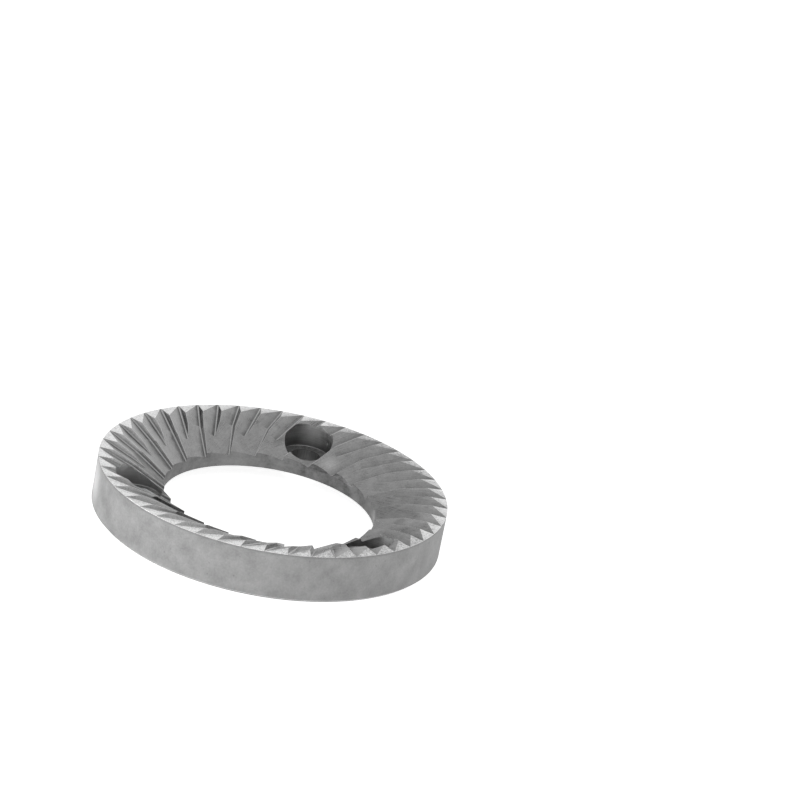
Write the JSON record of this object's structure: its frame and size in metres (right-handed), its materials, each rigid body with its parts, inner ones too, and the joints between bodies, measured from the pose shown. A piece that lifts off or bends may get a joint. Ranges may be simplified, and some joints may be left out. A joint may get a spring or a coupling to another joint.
{
  "type": "flat coffee grinder burr",
  "caption": "Flat hardened steel ring with slanted saw teeth on its face, sunk screw holes and a recessed back. It cuts coffee beans against a matching ring.",
  "frame": {"origin": "centre of the back rim's plane, on the ring's axis", "axes": "+Z along the ring's axis, from the back towards the teeth; +Y through one screw hole"},
  "size_m": [0.064, 0.064, 0.0089],
  "materials": {
    "steel": "hardened tool steel, ground on the tooth lands and the back rim, milled in the grooves, matte grey on the outer wall"
  },
  "bodies": {
    "root": {"burr": "steel"}
  },
  "joints": []
}
